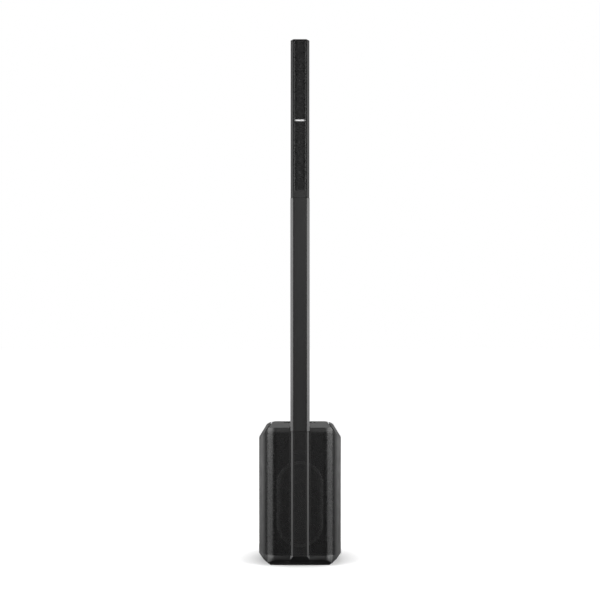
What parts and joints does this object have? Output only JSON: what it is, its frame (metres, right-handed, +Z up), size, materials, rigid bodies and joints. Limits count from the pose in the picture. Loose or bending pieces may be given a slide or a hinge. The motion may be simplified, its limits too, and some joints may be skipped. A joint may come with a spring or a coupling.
{
  "type": "column pa system",
  "caption": "Floor-standing powered sub base with grille front and control panel at the back, and a slim line array column that stacks on it in two lift-off sections.",
  "frame": {"origin": "middle of the object's box, on the floor it stands on", "axes": "+Z up along the column, -Y out of the front grille, +X to the right seen from the front"},
  "size_m": [0.318, 0.44, 2.001],
  "materials": {
    "shell_plastic": "fine moulded texture",
    "cap_plastic": "fine moulded texture",
    "grille_steel": "black powder coat, perforated",
    "column_plastic": "satin",
    "panel_metal": "fine black texture",
    "inner_plastic": "matt",
    "cone_paper": "matt black",
    "surround_rubber": "satin",
    "magnet_iron": "zinc plated",
    "stamped_steel": "black coated",
    "circuit_board": "solder mask",
    "heat_sink_aluminium": "extruded",
    "connector_plastic": "semi-gloss black",
    "control_rubber": "soft touch",
    "foot_rubber": "matt",
    "cable_jacket": "matt",
    "badge_metal": "satin"
  },
  "bodies": {
    "base": {"cheek_left": "shell_plastic", "cheek_right": "shell_plastic", "top_cap": "cap_plastic", "handle_bar": "foot_rubber", "bottom_pan": "shell_plastic", "front_grille": "grille_steel", "rear_housing": "shell_plastic", "port_tube": "inner_plastic", "foot_front_left": "foot_rubber", "foot_front_right": "foot_rubber", "foot_rear_left": "foot_rubber", "foot_rear_right": "foot_rubber", "front_baffle": "inner_plastic", "woofer_basket": "stamped_steel", "woofer_surround": "surround_rubber", "woofer_magnet": "magnet_iron", "column_socket": "inner_plastic", "control_panel": "panel_metal", "output_panel": "panel_metal", "combo_jack_1": "connector_plastic", "combo_jack_2": "connector_plastic", "line_jacks": "connector_plastic", "xlr_output": "connector_plastic", "data_port": "connector_plastic", "usb_port": "connector_plastic", "power_inlet": "connector_plastic", "amplifier_board": "circuit_board", "power_supply": "stamped_steel", "heat_sink": "heat_sink_aluminium"},
    "extension": {"extension_tube": "column_plastic", "extension_plug": "inner_plastic", "extension_socket": "inner_plastic", "extension_cable": "cable_jacket"},
    "array": {"array_housing": "column_plastic", "array_grille": "grille_steel", "array_top_cap": "column_plastic", "array_plug": "column_plastic", "array_badge": "badge_metal", "array_baffle": "inner_plastic", "array_driver_1": "stamped_steel", "array_driver_2": "stamped_steel", "array_driver_3": "stamped_steel", "array_driver_4": "stamped_steel", "array_driver_5": "stamped_steel", "array_driver_6": "stamped_steel", "array_driver_7": "stamped_steel", "array_driver_8": "stamped_steel"},
    "woofer_cone": {"woofer_cone": "cone_paper"},
    "channel_knob_1": {"channel_knob_1": "control_rubber"},
    "channel_knob_2": {"channel_knob_2": "control_rubber"},
    "channel_knob_3": {"channel_knob_3": "control_rubber"},
    "edit_button_1": {"edit_button_1": "control_rubber"},
    "mute_button_1": {"mute_button_1": "control_rubber"},
    "edit_button_2": {"edit_button_2": "control_rubber"},
    "mute_button_2": {"mute_button_2": "control_rubber"},
    "edit_button_3": {"edit_button_3": "control_rubber"},
    "mute_button_3": {"mute_button_3": "control_rubber"},
    "tone_button": {"tone_button": "control_rubber"},
    "pairing_button": {"pairing_button": "control_rubber"},
    "standby_button": {"standby_button": "control_rubber"}
  },
  "joints": [
    {"name": "extension_lift", "type": "slide", "parent": "base", "child": "extension", "axis": [0, 0, 1], "range_m": [0, 0.11]},
    {"name": "array_lift", "type": "slide", "parent": "extension", "child": "array", "axis": [0, 0, 1], "range_m": [0, 0.11]},
    {"name": "woofer_stroke", "type": "slide", "parent": "base", "child": "woofer_cone", "axis": [0, -1, 0], "range_m": [-0.007, 0.007], "stiffness_N_per_m": 3000, "deforming": ["woofer_surround"]},
    {"name": "channel_knob_1_turn", "type": "hinge", "parent": "base", "child": "channel_knob_1", "pos_m": [0.056, 0.2017, 0.415], "axis": [0, 1, 0], "continuous": true},
    {"name": "channel_knob_2_turn", "type": "hinge", "parent": "base", "child": "channel_knob_2", "pos_m": [0, 0.2017, 0.415], "axis": [0, 1, 0], "continuous": true},
    {"name": "channel_knob_3_turn", "type": "hinge", "parent": "base", "child": "channel_knob_3", "pos_m": [-0.056, 0.2017, 0.415], "axis": [0, 1, 0], "continuous": true},
    {"name": "edit_button_1_press", "type": "slide", "parent": "base", "child": "edit_button_1", "axis": [0, -1, 0], "range_m": [0, 0.0012], "stiffness_N_per_m": 400, "springref_m": -0.001},
    {"name": "mute_button_1_press", "type": "slide", "parent": "base", "child": "mute_button_1", "axis": [0, -1, 0], "range_m": [0, 0.0012], "stiffness_N_per_m": 400, "springref_m": -0.001},
    {"name": "edit_button_2_press", "type": "slide", "parent": "base", "child": "edit_button_2", "axis": [0, -1, 0], "range_m": [0, 0.0012], "stiffness_N_per_m": 400, "springref_m": -0.001},
    {"name": "mute_button_2_press", "type": "slide", "parent": "base", "child": "mute_button_2", "axis": [0, -1, 0], "range_m": [0, 0.0012], "stiffness_N_per_m": 400, "springref_m": -0.001},
    {"name": "edit_button_3_press", "type": "slide", "parent": "base", "child": "edit_button_3", "axis": [0, -1, 0], "range_m": [0, 0.0012], "stiffness_N_per_m": 400, "springref_m": -0.001},
    {"name": "mute_button_3_press", "type": "slide", "parent": "base", "child": "mute_button_3", "axis": [0, -1, 0], "range_m": [0, 0.0012], "stiffness_N_per_m": 400, "springref_m": -0.001},
    {"name": "tone_button_press", "type": "slide", "parent": "base", "child": "tone_button", "axis": [0, -1, 0], "range_m": [0, 0.0012], "stiffness_N_per_m": 400, "springref_m": -0.001},
    {"name": "pairing_button_press", "type": "slide", "parent": "base", "child": "pairing_button", "axis": [0, -1, 0], "range_m": [0, 0.0012], "stiffness_N_per_m": 400, "springref_m": -0.001},
    {"name": "standby_button_press", "type": "slide", "parent": "base", "child": "standby_button", "axis": [0, -1, 0], "range_m": [0, 0.0012], "stiffness_N_per_m": 400, "springref_m": -0.001}
  ]
}
